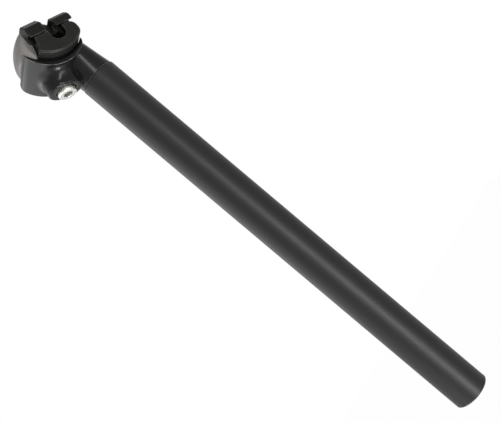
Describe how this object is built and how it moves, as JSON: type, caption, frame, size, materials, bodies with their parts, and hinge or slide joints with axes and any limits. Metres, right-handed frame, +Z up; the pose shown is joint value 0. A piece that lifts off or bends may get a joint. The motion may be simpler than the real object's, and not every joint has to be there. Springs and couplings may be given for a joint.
{
  "type": "bicycle seatpost",
  "caption": "Round bicycle seatpost with a bonded forged head and a single-bolt tilting clamp that grips the two rails of a saddle.",
  "frame": {"origin": "on the axis of the post tube, 100 mm up from its open lower end, the usual least depth in the frame", "axes": "+Z up along the post towards the saddle, +X to the front of the bicycle, +Y to its left"},
  "size_m": [0.0473, 0.0524, 0.3741],
  "materials": {
    "tube_black": "satin black anodised",
    "head_gloss_black": "gloss black",
    "clamp_black": "semi-gloss black",
    "bolt_silver": "zinc plated",
    "washer_silver": "zinc plated",
    "nut_silver": "zinc plated"
  },
  "bodies": {
    "post": {"post_tube": "tube_black", "head": "head_gloss_black", "bolt_washer": "washer_silver"},
    "bolt": {"clamp_bolt": "bolt_silver"},
    "nut": {"barrel_nut": "nut_silver"},
    "cradle": {"lower_cradle": "clamp_black"},
    "jaw": {"upper_clamp": "clamp_black"}
  },
  "joints": [
    {"name": "bolt_turn", "type": "hinge", "parent": "post", "child": "bolt", "pos_m": [-0.0095, 0, 0.264], "axis": [-0.3584, 0, -0.9336], "range_deg": [0, 1080]},
    {"name": "nut_slide", "type": "slide", "parent": "post", "child": "nut", "axis": [0.3584, 0, 0.9336], "range_m": [0, 0.0038]},
    {"name": "clamp_tilt", "type": "hinge", "parent": "post", "child": "cradle", "pos_m": [-0.0095, 0, 0.264], "axis": [0, 1, 0], "range_deg": [-2, 22]},
    {"name": "jaw_lift", "type": "slide", "parent": "cradle", "child": "jaw", "axis": [0.1908, 0, 0.9816], "range_m": [0, 0.0038]}
  ],
  "couplings": [
    {"joint": "nut_slide", "follows": "bolt_turn", "m_per_rad": 0.00019894},
    {"joint": "jaw_lift", "follows": "bolt_turn", "m_per_rad": 0.00019894}
  ]
}
